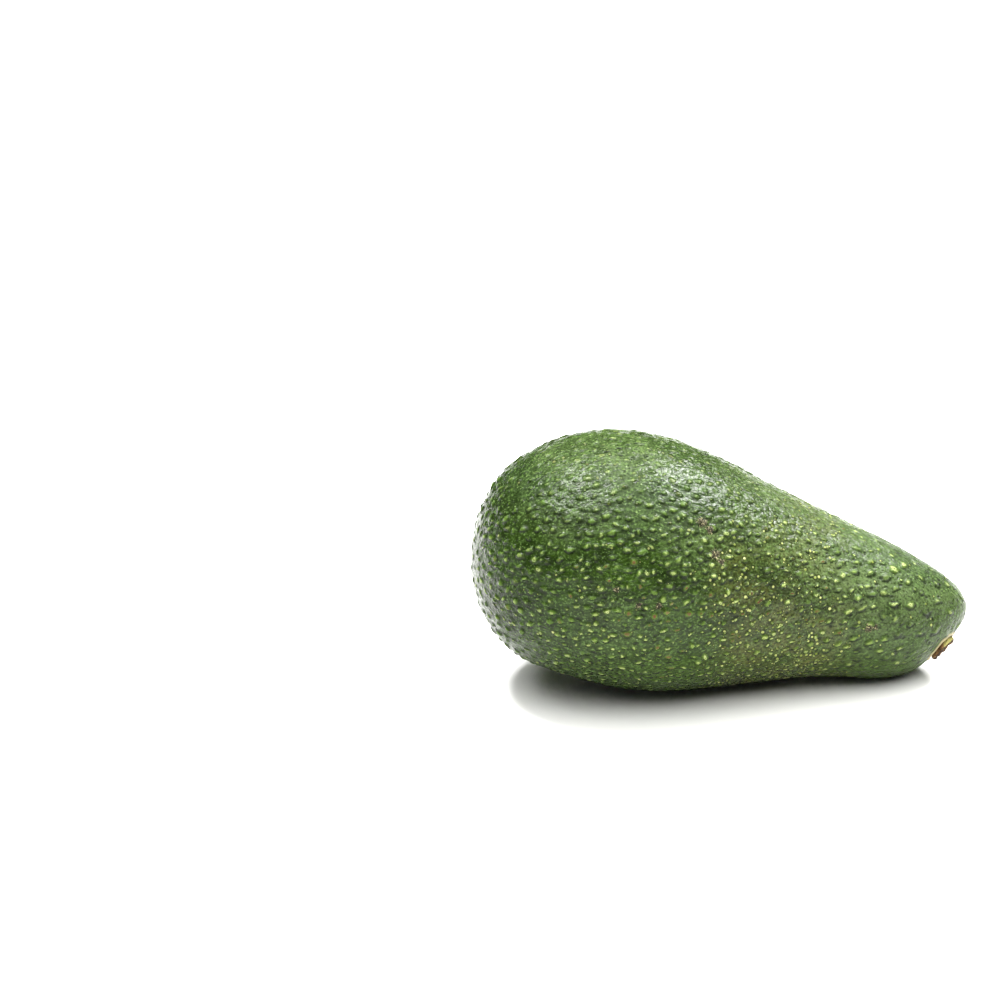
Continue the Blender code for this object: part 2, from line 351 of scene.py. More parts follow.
# %% Where the hills are lower
seat_far = np.linalg.norm(place - SEAT_POINT, axis=1)
for source, low, high, start, end in (
    # what it follows, the two values it ramps between, and the strength at each
    (fraction, 0.72, 0.88, 1.0, 0.30),
    (place[:, 2], 3.0, 18.0, 0.32, 1.0),
    (seat_far, 4.5, 12.0, 0.0, 1.0),
    (fraction, 0.0, 0.06, 0.55, 1.0),
    (normal[:, 2], 0.50, 0.92, 1.0, 0.42),
):
    relief *= start + (end - start) * ramp(low, high, source)
print("pebble relief mm up to", round(float(relief.max()), 2))

# %% Waves and ripples, and the seat
WAVE, WAVE_HEIGHT = 13.0, 0.30
RIPPLE, RIPPLE_HEIGHT, RIPPLE_LONGER = 2.8, 0.17, 2.1
GRAIN, GRAIN_HEIGHT, GRAIN_LONGER = 1.0, 0.10, 1.4
LIP_HEIGHT, LIP_RADIUS, LIP_WIDTH = 0.42, 4.45, 0.6
PUCKER_HEIGHT, PUCKER_RADIUS, PUCKER_WIDTH, PUCKER_FOLDS = 0.10, 6.0, 2.0, 11.0
RECESS_DEPTH, RECESS_FLOOR, RECESS_RIM = SEAT_DEPTH - 0.2, 3.2, 3.9
# The smooth form is the solid's. The skin starts this much inside it, in mm, so that the
# tops of the pebbles stay within the solid's box.
SUNK = 0.55
wave = np.array([noise.noise(Vector(p) / WAVE) for p in place])
ripple, fine = [
    np.array([noise.noise(Vector((p[0] / longer, p[1], p[2])) / size) for p in place])
    for size, longer in ((RIPPLE, RIPPLE_LONGER), (GRAIN, GRAIN_LONGER))
]
lift = relief - SUNK + WAVE_HEIGHT * wave * ramp(0.0, 8.0, place[:, 2])
lift += RIPPLE_HEIGHT * ripple
lift += GRAIN_HEIGHT * fine * (1.0 - 0.5 * ramp(0.86, 0.94, fraction))

pucker_turn = np.arctan2((place - SEAT_POINT) @ np.cross(SEAT_AXIS, (0, 0, 1.0)),
                         (place - SEAT_POINT) @ np.array((0.0, 0.0, 1.0)))
lip = LIP_HEIGHT * np.exp(-((seat_far - LIP_RADIUS) / LIP_WIDTH) ** 2)
uneven_folds = PUCKER_FOLDS * pucker_turn + 2.0 * np.sin(3.0 * pucker_turn)
pucker = PUCKER_HEIGHT * np.cos(uneven_folds)
pucker *= np.exp(-((seat_far - PUCKER_RADIUS) / PUCKER_WIDTH) ** 2)
dimple = DIMPLE_DEPTH * np.exp(-(seat_far / DIMPLE_RADIUS) ** 2)
recess = RECESS_DEPTH * (1.0 - ramp(RECESS_FLOOR, RECESS_RIM, seat_far))
lift += lip + pucker
# The two resting flats stay flat: the relief fades out in the last millimetre above them.
lift *= ramp(-0.1, 1.2, place[:, 2]) * 0.999 + 0.001
shaped = place + normal * lift[:, None] - SEAT_AXIS * (dimple + recess)[:, None]
shaped[:, 2] = np.maximum(shaped[:, 2], 0.0)
print("relief mm from", round(float(lift.min()), 2), "to", round(float(lift.max()), 2))

# %% [markdown]
# ## Corky marks
#
# Rubbing against leaves and twigs leaves small dry scabs. They are given by their place on
# the fruit and their width. The blossom end carries a faint round scar of the same kind.

# %% Marks
MARKS = (
    # fraction of the length, turn in degrees, half-width in mm
    (0.448, 138.0, 1.5),
    (0.462, 141.0, 1.0),
    (0.470, 152.0, 1.3),
    (0.482, 155.0, 0.9),
    (0.317, 178.0, 0.9),
    (0.355, 178.0, 1.0),
    (0.273, 172.0, 0.8),
    (0.776, 178.0, 1.2),
    (0.790, 176.0, 0.8),
    (0.245, 40.0, 1.6),
    (0.560, 62.0, 2.3),
    (0.610, -30.0, 1.5),
    (0.330, -48.0, 2.0),
    (0.002, 90.0, 2.1),
)
corky = np.zeros(len(place))
for mark_fraction, mark_turn, mark_width in MARKS:
    centre = body(np.array([mark_fraction]), np.array([math.radians(mark_turn)]))[0]
    far = np.linalg.norm(place - centre, axis=1)
    corky = np.maximum(corky, np.clip(1.0 - far / (1.6 * mark_width), 0.0, 1.0))
print("marks", len(MARKS), "vertices in them", int((corky > 0.0).sum()))

# %% Keep values for the finish, and make the peel


def store(mesh, name, kind, values):
    """Keep a value for each vertex, for the finish to read."""
    layer = mesh.attributes.new(name, kind, "POINT")
    layer.data.foreach_set("value" if kind == "FLOAT" else "vector", np.ravel(values))


k = nearest[:, 0]
store(skin, "pore_offset", "FLOAT_VECTOR", np.column_stack([pore, np.zeros(len(place))]))
store(skin, "pore_traits", "FLOAT_VECTOR",
      np.column_stack([pebble_tone[k], pebble_rust[k], pore_size[k]]))
for name, values in (
    ("ahead", ahead), ("foot", foot), ("under", under), ("relief", relief),
    ("scab", corky), ("seat_far", seat_far), ("up", normal[:, 2])):
    store(skin, name, "FLOAT", values)
skin.vertices.foreach_set("co", np.ravel(shaped * MM))
skin.update()
bm = bmesh.new()
bm.from_mesh(skin)
bmesh.ops.recalc_face_normals(bm, faces=bm.faces[:])
bm.to_mesh(skin)
bm.free()
skin.shade_smooth()
peel = bpy.data.objects.new("peel_skin", skin)
bpy.context.scene.collection.objects.link(peel)
print("peel faces", len(skin.polygons), "box mm", shaped.min(0).round(2), shaped.max(0).round(2))

# %% [markdown]
# ## The stem button
#
# The stalk snaps off at a joint just above the fruit. What stays is a short stub with a
# pale corky side, a dark edge and a torn woody face. It is turned from an outline, and
# then its side is made uneven and its face broken up with noise.

# %% Turn the button
BUTTON = (
    # radius and height above the seat's rim in mm
    (0.0, -1.10), (2.0, -1.10), (3.1, -1.05), (3.25, -0.60), (3.42, -0.20), (3.60, 0.15),
    (3.66, 0.45), (3.58, 0.72), (3.42, 0.92), (3.22, 1.02), (3.02, 1.00), (2.86, 0.86),
    (2.70, 0.66), (2.45, 0.56), (2.10, 0.62), (1.70, 0.74), (1.20, 0.84), (0.60, 0.90),
    (0.0, 0.92),
)
BUTTON_TURNS, BUTTON_RINGS = 120, 64

length_at = np.concatenate([[0.0], np.cumsum(np.linalg.norm(np.diff(BUTTON, axis=0), axis=1))])
even = np.linspace(0.0, length_at[-1], BUTTON_RINGS)
line = np.stack([np.interp(even, length_at, np.array(BUTTON)[:, c]) for c in (0, 1)], -1)
bm = bmesh.new()
verts = [bm.verts.new((r, 0.0, z)) for r, z in line]
edges = [bm.edges.new(pair) for pair in zip(verts[:-1], verts[1:])]
bmesh.ops.spin(bm, geom=verts + edges, cent=(0, 0, 0), axis=(0, 0, 1), angle=2.0 * math.pi,
               steps=BUTTON_TURNS, use_merge=True)
bmesh.ops.remove_doubles(bm, verts=bm.verts[:], dist=0.004)
bmesh.ops.recalc_face_normals(bm, faces=bm.faces[:])
bm.normal_update()
print("turned vertices", len(bm.verts))

# %% Break up its side and its face
# Heights of the roughness in mm.
TORN_HEIGHT, FIBRE_HEIGHT = 0.34, 0.16
ROUGH_HEIGHT, LUMP_HEIGHT = 0.16, 0.30
face_share, moved = [], []
for vert in bm.verts:
    co = vert.co
    radius = math.hypot(co.x, co.y)
    face = float(ramp(0.45, 0.75, np.array(co.z)) * (1.0 - ramp(2.75, 3.15, np.array(radius))))
    side = float(ramp(-0.7, -0.1, np.array(co.z)) * ramp(2.7, 3.2, np.array(radius)))
    torn = noise.fractal(co * 1.1 + Vector((3.0, 8.0, 1.0)), 1.0, 2.1, 4)
    fibre = noise.noise(Vector((co.x * 2.6, co.y * 2.6, 5.0)))
    rough = noise.noise(Vector((co.x * 1.3, co.y * 1.3, co.z * 2.5)))
    lump = noise.noise(Vector((co.x * 0.9, co.y * 0.9, co.z * 0.9 + 7.0)))
    moved.append(co + Vector((0, 0, face * (TORN_HEIGHT * torn + FIBRE_HEIGHT * abs(fibre))))
                 + vert.normal * side * (ROUGH_HEIGHT * rough + LUMP_HEIGHT * lump))
    face_share.append(face)
for vert, co in zip(bm.verts, moved):
    vert.co = co
print("face reaches mm", round(max(vert.co.z for vert in bm.verts), 2))

# %% Put the button in its seat
stand = Vector(SEAT_AXIS).to_track_quat("Z", "Y").to_matrix().to_4x4()
floor_point = Vector(SEAT_POINT - SEAT_AXIS * DIMPLE_DEPTH)
local = np.array([vert.co[:] for vert in bm.verts])
bmesh.ops.transform(bm, matrix=Matrix.Translation(floor_point) @ stand, verts=bm.verts[:])
bmesh.ops.scale(bm, vec=(MM, MM, MM), verts=bm.verts[:])
wood_mesh = bpy.data.meshes.new("button")
bm.to_mesh(wood_mesh)
bm.free()
store(wood_mesh, "face", "FLOAT", face_share)
store(wood_mesh, "rise", "FLOAT", local[:, 2])
wood_mesh.shade_smooth()
button = bpy.data.objects.new("stem_stub", wood_mesh)
bpy.context.scene.collection.objects.link(button)
print("button faces", len(wood_mesh.polygons))

# %% [markdown]
# ## Finishes
#
# Each finish is a small graph of nodes on Object coordinates in millimetres, so that every
# scale in it is a real one.

# %% Helpers for the finishes


def colour(text):
    """Linear colour from an sRGB hex text."""
    parts = [int(text[i:i + 2], 16) / 255.0 for i in (1, 3, 5)]
    return [c / 12.92 if c <= 0.04045 else ((c + 0.055) / 1.055) ** 2.4 for c in parts] + [1.0]


def add(tree, kind, inputs, out=0, **settings):
    """Add one node, set its properties, give or link its inputs, and return an output."""
    node = tree.nodes.new("ShaderNode" + kind)
    for name, value in settings.items():
        setattr(node, name, value)
    for name, value in inputs.items():
        if isinstance(value, bpy.types.NodeSocket):
            tree.links.new(value, node.inputs[name])
        else:
            node.inputs[name].default_value = value
    return node.outputs[out]


def finish(name):
    """New material: its tree, its Principled shader, and Object coordinates in mm."""
    material = bpy.data.materials.new(name)
    material.use_nodes = True
    tree = material.node_tree
    metres = add(tree, "TexCoord", {}, "Object")
    return material, tree, tree.nodes["Principled BSDF"], add(
        tree, "VectorMath", {0: metres, "Scale": 1000.0}, operation="SCALE")


print("mid green in linear light", [round(c, 3) for c in colour("#526a38")])


# %% [markdown]
# ### Waxy pebbled peel
#
# Leathery skin with a thin wax: fairly smooth in itself but finely crackled, so a lamp
# breaks into many small glints. The green is deep and warm on the belly, and greyer with
# bloom towards the neck. The top is greyer and paler where it faces up, partly from bloom and
# partly as painted light from above, and the upper side of the neck is paler again, partly wax
# frost and partly painted light, and duller. The blossom end, a band on the crown and the neck
# towards the tip are painted darker: painted shade. Pores are matt and pale, and some have
# gone rusty, most of them half-way up the belly. The lower side of each pebble and a ring round
# its foot are darker: painted shade, which stands for the shade of hills steeper than the mesh
# gives.
#
# Each layer of colour is a share of the surface, worked out first and then laid over the
# last layer with a Mix node.

# %% Peel: what the mesh and the place give
peel_finish, tree, shader, at = finish("waxy pebbled peel")
RGB = {"data_type": "RGBA"}
SOFT = {"interpolation_type": "SMOOTHSTEP"}
TIMES, PLUS, LESS = ({"operation": name} for name in ("MULTIPLY", "ADD", "LESS_THAN"))

x_mm, _, z_mm = add(tree, "SeparateXYZ", {0: at}).node.outputs
traits = add(tree, "Attribute", {}, "Vector", attribute_name="pore_traits")
tone, rusty, size = add(tree, "SeparateXYZ", {0: traits}).node.outputs
offset = add(tree, "Attribute", {}, "Vector", attribute_name="pore_offset")
ahead_mm, foot_step, under_step, relief_mm, scab_near, seat_mm, upward = [
    add(tree, "Attribute", {}, "Fac", attribute_name=name)
    for name in ("ahead", "foot", "under", "relief", "scab", "seat_far", "up")
]
print("attributes read from", peel.name)

# %% Peel: clouds of several sizes
broad, patch, streak, grain = [
    add(tree, "TexNoise", {
        "Vector": add(tree, "Mapping", {"Vector": at, "Scale": (along_scale, scale, scale)}),
        "Scale": 1.0, "Detail": detail, "Roughness": rough})
    for along_scale, scale, detail, rough in (
        # periods along and across the fruit are one over these, in mm
        (0.045, 0.045, 3.0, 0.5), (0.14, 0.20, 4.0, 0.62), (0.30, 0.75, 3.0, 0.6),
        (1.5, 1.9, 3.0, 0.65))
]
print("clouds about 22, 6, 2 and 0.6 mm across, nodes so far", len(tree.nodes))

# %% Peel: shares of the zones
zones = {}
for name, source, low, high, start, end in (
    # what it is, what it reads, the two values it ramps between, and the share at each
    ("neck", x_mm, -8.0, 40.0, 0.0, 1.0),
    ("top", upward, 0.25, 0.95, 0.0, 0.45),
    ("cloudy", broad, 0.35, 0.65, -0.22, 0.22),
    ("facing up", upward, 0.15, 0.85, 0.0, 0.40),
    ("low", z_mm, 31.0, 9.0, 0.0, 0.80),
    # The blossom end, and low down the blossom side, are painted darker from these zones: painted
    # shade.
    ("blossom end", x_mm, -30.0, -58.0, 0.0, 0.66),
    ("blossom side", x_mm, -14.0, -44.0, 0.0, 0.62),
    ("mottle", patch, 0.34, 0.66, 0.0, 1.0),
    ("streaked", streak, 0.50, 0.76, 0.0, 0.34),
    ("grain dark", grain, 0.50, 0.32, 0.0, 0.95),
    ("grain light", grain, 0.52, 0.70, 0.0, 0.70),
    ("belt start", x_mm, -12.0, 4.0, 0.0, 1.0),
    ("belt end", x_mm, 36.0, 20.0, 0.0, 1.0),
    ("belt cloud", broad, 0.36, 0.50, 0.30, 1.0),
    ("belt top", z_mm, 52.0, 38.0, 0.12, 1.0),
    ("tip", x_mm, 42.0, 56.0, 1.0, 0.50),
    ("shade low", z_mm, 4.0, 20.0, 0.52, 1.0),
    ("shade top", z_mm, 40.0, 54.0, 1.0, 0.30),
    ("crown", upward, 0.62, 0.90, 1.0, 0.30),
    ("tip shade", x_mm, 22.0, 46.0, 0.0, 0.36),
    ("crown shade", upward, 0.56, 0.78, 0.0, 0.56),
    ("crown rim", upward, 0.82, 0.95, 1.0, 0.45),
    ("blossom pores", x_mm, -54.0, -26.0, 0.50, 1.0),
    ("rusty start", x_mm, -36.0, -22.0, 0.0, 1.0),
    ("rusty end", x_mm, 30.0, 14.0, 0.0, 1.0),
    ("rusty low", z_mm, 20.0, 26.0, 0.0, 1.0),
    ("rusty high", z_mm, 46.0, 38.0, 0.0, 1.0),
):
    zones[name] = add(tree, "MapRange", {0: source, 1: low, 2: high, 3: start, 4: end}, **SOFT)
print("zones", len(zones))

# %% Peel: zones worked out from others
# Bloom greys the neck. The top is greyer and paler where it faces up, partly from bloom and
# partly as painted light from above. The belt, where the belly turns into the neck, is browner
# and thick with pores. Rusty pores crowd in a band half-way up the belly.
bloom_and_painted_top_light = add(tree, "Math", {0: zones["neck"], 1: zones["top"]}, **PLUS)
bloom_and_painted_top_light = add(tree, "Math", {0: bloom_and_painted_top_light, 1: zones["cloudy"]}, use_clamp=True, **PLUS)
# Paler upper side of the neck: partly wax frost, partly painted light from above.
frost_and_painted_light = add(tree, "Math", {0: zones["neck"], 1: zones["facing up"]}, **TIMES)
frost_and_painted_light = add(tree, "Math", {0: frost_and_painted_light, 1: zones["tip"]}, **TIMES)
# A band on the upper side is painted darker, easing off at the very top: painted shade.
crown = add(tree, "Math", {0: zones["crown shade"], 1: zones["crown rim"]}, **TIMES)
painted_shade_low_blossom = add(tree, "Math", {0: zones["blossom side"], 1: zones["low"]}, **TIMES)
belt = add(tree, "Math", {0: zones["belt start"], 1: zones["belt end"]}, **TIMES)
belt = add(tree, "Math", {0: belt, 1: zones["belt cloud"]}, **TIMES)
belt = add(tree, "Math", {0: belt, 1: zones["belt top"]}, **TIMES)
rusty_band = zones["rusty start"]
for name in ("rusty end", "rusty low", "rusty high"):
    rusty_band = add(tree, "Math", {0: rusty_band, 1: zones[name]}, **TIMES)
belt_brown = add(tree, "Math", {0: zones["mottle"], 1: 0.40, 2: 0.08}, operation="MULTIPLY_ADD")
belt_brown = add(tree, "Math", {0: belt, 1: belt_brown}, **TIMES)
print("nodes so far", len(tree.nodes))

# %% Peel: the pore on each pebble
# A wobble bends its outline, so that pores are ragged, and some fall in two. The lee is the
# lower side of a pebble and the foot is the ring round it; both are painted darker, as painted
# shade. The nub is the pore's own rise.
wobble = add(tree, "TexNoise", {"Vector": at, "Scale": 1.5, "Detail": 3.0, "Roughness": 0.6},
             "Color")
bent = add(tree, "VectorMath", {0: wobble, 1: (1.1, 1.1, 0.0), 2: offset},
           operation="MULTIPLY_ADD")
bent = add(tree, "VectorMath", {0: bent, 1: (0.55, 0.55, 0.0)}, operation="SUBTRACT")
pore_mm = add(tree, "VectorMath", {0: bent}, "Value", operation="LENGTH")
pore_edge = add(tree, "Math", {0: pore_mm, 1: size}, operation="DIVIDE")
shares = {}
for name, source, low, high, start, end in (
    ("inside", ahead_mm, 0.50, 1.15, 0.0, 1.0),
    ("core", pore_edge, 1.10, 0.45, 0.0, 1.0),
    ("glow", pore_edge, 2.3, 0.8, 0.0, 1.0),
    ("heart", pore_edge, 0.42, 0.20, 0.0, 0.85),
    ("ringed", tone, 0.70, 0.80, 0.0, 1.0),
    ("seen", tone, 0.10, 0.80, 0.12, 0.95),
    ("foot inner", foot_step, 0.50, 1.00, 0.0, 1.0),
    ("foot outer", foot_step, 1.70, 1.05, 0.0, 0.34),
    ("lee", under_step, 0.0, 0.65, 0.0, 0.92),
    ("lee inner", foot_step, 0.35, 0.85, 0.0, 1.0),
    ("lee outer", foot_step, 1.90, 1.15, 0.0, 1.0),
    ("crest", relief_mm, 0.10, 0.45, 0.0, 0.55),
    ("nub", pore_edge, 2.6, 0.4, 0.0, 1.0),
):
    shares[name] = add(tree, "MapRange", {0: source, 1: low, 2: high, 3: start, 4: end}, **SOFT)
print("shares read from each pebble", len(shares))

# %% Peel: keep each share where it belongs
rust = add(tree, "Math", {0: rusty_band, 1: 0.22, 2: rusty}, operation="MULTIPLY_ADD")
rust = add(tree, "MapRange", {0: rust, 1: 0.93, 2: 0.96})
for source, much in ((belt, 0.25), (rust, 0.45)):
    shares["seen"] = add(tree, "Math", {0: source, 1: much, 2: shares["seen"]},
                         operation="MULTIPLY_ADD", use_clamp=True)
for name, first, second in (
    ("seen", "seen", "inside"),
    ("pore", "core", "seen"),
    ("nub", "nub", "inside"),
    ("glow", "glow", "seen"),
    ("heart", "heart", "ringed"),
    ("foot", "foot inner", "foot outer"),
    ("lee", "lee", "lee inner"),
    ("lee", "lee", "lee outer"),
    ("lee", "lee", "inside"),
):
    shares[name] = add(tree, "Math", {0: shares[first], 1: shares[second]}, **TIMES)
# The painted shade of foot and lee fades on the crown.
for name in ("foot", "lee"):
    shares[name] = add(tree, "Math", {0: shares[name], 1: zones["crown"]}, **TIMES)
# The zone named shade low dims the pale pores and their glow low down on the fruit: painted shade.
for name in ("pore", "glow"):
    for zone in ("tip", "shade low", "shade top", "blossom pores"):
        shares[name] = add(tree, "Math", {0: shares[name], 1: zones[zone]}, **TIMES)
print("nodes so far", len(tree.nodes))

# %% Peel: colour of the pores
# Pale cork, with a darker green heart in the largest, or rust.
glow = add(tree, "Math", {0: shares["glow"], 1: 0.55}, **TIMES)
pore = add(tree, "Math", {0: shares["pore"], 1: 0.84}, **TIMES)
pore_pale = add(tree, "Mix", {0: tone, 6: colour("#6b7e30"), 7: colour("#9aa36a")}, 2, **RGB)
pore_colour = add(tree, "Mix", {0: rust, 6: pore_pale, 7: colour("#4e2a20")}, 2, **RGB)
pore_colour = add(tree, "Mix", {0: shares["heart"], 6: pore_colour, 7: colour("#384818")},
                  2, **RGB)
print("mean pore half-width mm", round(float(pore_size.mean()), 2))

# %% Peel: fine cream pores between the pebbles
# They are 0.3 to 0.8 mm wide and stand thickest where the belly turns into the neck.
DOTS_PER_MM, FLECKS_PER_MM = 0.90, 1.25
cells = add(tree, "TexVoronoi", {"Vector": at, "Scale": DOTS_PER_MM}).node
chance, cream, dot_size = add(tree, "SeparateColor", {0: cells.outputs["Color"]}).node.outputs
dense = add(tree, "Math", {0: belt, 1: 0.70, 2: 0.05}, operation="MULTIPLY_ADD")
here = add(tree, "Math", {0: chance, 1: dense}, **LESS)
dot_edge = add(tree, "Math", {0: dot_size, 1: dot_size}, **TIMES)
dot_edge = add(tree, "Math", {0: dot_edge, 1: 0.24, 2: 0.14}, operation="MULTIPLY_ADD")
dot_step = add(tree, "Math", {0: wobble, 1: 0.36, 2: -0.18}, operation="MULTIPLY_ADD")
dot_step = add(tree, "Math", {0: dot_step, 1: cells.outputs["Distance"]}, **PLUS)
dot_step = add(tree, "Math", {0: dot_step, 1: dot_edge}, operation="DIVIDE")
dot = add(tree, "MapRange", {0: dot_step, 1: 1.25, 2: 0.65}, **SOFT)
dot = add(tree, "Math", {0: dot, 1: here}, **TIMES)
# A dark ring round each cream pore: painted shade.
dot_ring = add(tree, "MapRange", {0: dot_step, 1: 2.8, 2: 1.4, 4: 0.62}, **SOFT)
dot_ring = add(tree, "Math", {0: dot_ring, 1: here}, **TIMES)
away = add(tree, "MapRange", {0: seat_mm, 1: 7.0, 2: 12.0}, **SOFT)
dot = add(tree, "Math", {0: dot, 1: away}, **TIMES)
dot_share = add(tree, "Math", {0: dot, 1: 0.82}, **TIMES)
dot_share = add(tree, "Math", {0: dot_share, 1: zones["shade top"]}, **TIMES)
dot_colour = add(tree, "Mix", {0: cream, 6: colour("#5f6d26"), 7: colour("#a5aa6a")}, 2, **RGB)
print("cream pores from one cell each", round(1.0 / DOTS_PER_MM, 2), "mm")

# %% Peel: flecks of wax
# Bloom rubbed off to tiny flecks gives the neck and the top a frosted look. Real ones are
# under 0.1 mm wide, and these are drawn about 0.4 mm wide, so that they show.
fleck_cells = add(tree, "TexVoronoi", {"Vector": at, "Scale": FLECKS_PER_MM}).node
fleck_draw = add(tree, "SeparateColor", {0: fleck_cells.outputs["Color"]})
fleck_chance, fleck_tone, _ = fleck_draw.node.outputs
fleck = add(tree, "Math", {0: wobble, 1: 0.30, 2: -0.15}, operation="MULTIPLY_ADD")
fleck = add(tree, "Math", {0: fleck, 1: fleck_cells.outputs["Distance"]}, **PLUS)
fleck = add(tree, "MapRange", {0: fleck, 1: 0.34, 2: 0.16}, **SOFT)
fleck_rate = add(tree, "MapRange", {0: z_mm, 1: 14.0, 2: 34.0, 4: 0.45}, **SOFT)
fleck_rate = add(tree, "Math", {0: bloom_and_painted_top_light, 1: fleck_rate}, **TIMES)
fleck_here = add(tree, "Math", {0: fleck_chance, 1: fleck_rate}, **LESS)
fleck = add(tree, "Math", {0: fleck, 1: fleck_here}, **TIMES)
fleck_share = add(tree, "Math", {0: fleck, 1: 0.50}, **TIMES)
fleck_colour = add(tree, "Mix", {0: fleck_tone, 6: colour("#465a2c"), 7: colour("#788d58")},
                   2, **RGB)
print("flecks of wax from one cell each", 1.0 / FLECKS_PER_MM, "mm")

# %% Peel: dark pits between the pebbles
# Small hollows, drawn out along the fruit, are painted dark: partly painted shade of the
# hollow, partly dust. They are fewer on the top.
pit_at = add(tree, "Mapping", {
    "Vector": at, "Scale": (0.32, 0.52, 0.52), "Location": (3.1, 1.7, 0.4)})
pit_cells = add(tree, "TexVoronoi", {"Vector": pit_at, "Scale": 1.0}).node
pit_chance = add(tree, "SeparateColor", {0: pit_cells.outputs["Color"]})
pit_rate = add(tree, "MapRange", {0: z_mm, 1: 50.0, 2: 24.0, 3: 0.15, 4: 0.70}, **SOFT)
pit_here = add(tree, "Math", {0: pit_chance, 1: pit_rate}, **LESS)
pit = add(tree, "Math", {0: wobble, 1: 0.40, 2: pit_cells.outputs["Distance"]},
          operation="MULTIPLY_ADD")
pit = add(tree, "MapRange", {0: pit, 1: 0.52, 2: 0.30}, **SOFT)
pit = add(tree, "Math", {0: pit, 1: pit_here}, **TIMES)
bare = add(tree, "MapRange", {0: relief_mm, 1: 0.20, 2: 0.08}, **SOFT)
pit = add(tree, "Math", {0: pit, 1: bare}, **TIMES)
pit_share = add(tree, "Math", {0: pit, 1: 0.85}, **TIMES)
print("nodes so far", len(tree.nodes))

# %% Peel: corky scabs and the lip round the seat
crack = add(tree, "TexNoise", {"Vector": at, "Scale": 2.2, "Detail": 4.0, "Roughness": 0.75})
ragged = add(tree, "Math", {0: crack, 1: 1.7, 2: -0.85}, operation="MULTIPLY_ADD")
scab = add(tree, "Math", {0: scab_near, 1: ragged}, **PLUS)
scab = add(tree, "MapRange", {0: scab, 1: 0.40, 2: 0.56}, **SOFT)
crumbs = add(tree, "MapRange", {0: crack, 1: 0.50, 2: 0.66}, **SOFT)
scab_colour = add(tree, "Mix", {0: crumbs, 6: colour("#181409"), 7: colour("#8b8663")}, 2, **RGB)
lip_wave = add(tree, "Math", {0: patch, 1: 1.6, 2: -0.8}, operation="MULTIPLY_ADD")
lip_mm = add(tree, "Math", {0: seat_mm, 1: lip_wave}, **PLUS)
lip_share = add(tree, "MapRange", {0: lip_mm, 1: 5.6, 2: 4.6, 4: 0.9}, **SOFT)
# The gap round the stem button is painted dark: painted shade.
gap_share = add(tree, "MapRange", {0: seat_mm, 1: 4.25, 2: 3.85}, **SOFT)
print("scabs at", len(MARKS), "places")

# %% Peel: lay the layers of colour
# Each line is a share of the surface and the colour laid there, from the ground upwards.
green = add(tree, "Mix", {0: zones["mottle"], 6: colour("#0f1a03"), 7: colour("#25380a")}, 2, **RGB)
grey = add(tree, "Mix", {0: zones["mottle"], 6: colour("#2e391d"), 7: colour("#4c5838")}, 2, **RGB)
base = add(tree, "Mix", {0: bloom_and_painted_top_light, 6: green, 7: grey}, 2, **RGB)
for share, top in (
    # Partly wax frost, partly painted light on the upper side of the neck.
    (frost_and_painted_light, colour("#5f7048")),
    # Painted shade: the blossom end is made darker.
    (zones["blossom end"], colour("#0e1804")),
    # Painted shade: the neck towards the tip is made darker.
    (zones["tip shade"], colour("#202c16")),
    # Painted shade on the crown.
    (crown, colour("#1c2a12")),
    (zones["low"], colour("#243408")),
    # Painted shade low on the blossom side.
    (painted_shade_low_blossom, colour("#0e1804")),
    (belt_brown, colour("#463c1c")),
    (zones["streaked"], colour("#486030")),
    (zones["grain dark"], colour("#141f07")),
    (zones["grain light"], colour("#526a38")),
    # Painted shade: a dark ring round the foot of each pebble, and its darker lower side.
    (shares["foot"], colour("#101a06")),
    (shares["lee"], colour("#0d1604")),
    # Painted shade and dust in the pits.
    (pit_share, colour("#0b1204")),
    (fleck_share, fleck_colour),
    (shares["crest"], colour("#465f22")),
    (glow, colour("#4a5e1e")),
    (pore, pore_colour),
    # Painted shade round the cream pores.
    (dot_ring, colour("#182006")),
    (dot_share, dot_colour),
    (scab, scab_colour),
    (lip_share, colour("#8d8260")),
    # Painted shade in the gap round the button.
    (gap_share, colour("#2a1c10")),
):
    base = add(tree, "Mix", {0: share, 6: base, 7: top}, 2, **RGB)
tree.links.new(base, shader.inputs["Base Color"])
print("nodes so far", len(tree.nodes))

# %% Peel: wax gloss and the finest relief
# The wax itself is smooth. Crackle of about a millimetre, leather grain, and the nubs of the
# pores turn it many ways, which makes the glints.
# Bloom breaks up most of the sheen, so the specular level is well under that of clean wax.
shader.inputs["IOR"].default_value = 1.46
shader.inputs["Specular IOR Level"].default_value = 0.11
matt = add(tree, "Math", {0: shares["pore"], 1: dot}, operation="MAXIMUM")
matt = add(tree, "Math", {0: matt, 1: scab}, operation="MAXIMUM")
gloss = add(tree, "MapRange", {0: grain, 1: 0.3, 2: 0.7, 3: 0.15, 4: 0.27})
gloss = add(tree, "Math", {0: matt, 1: 0.14, 2: gloss}, operation="MULTIPLY_ADD")
gloss = add(tree, "Math", {0: shares["crest"], 1: 0.12, 2: gloss}, operation="MULTIPLY_ADD")
gloss = add(tree, "Math", {0: zones["neck"], 1: 0.12, 2: gloss}, operation="MULTIPLY_ADD")
tree.links.new(gloss, shader.inputs["Roughness"])

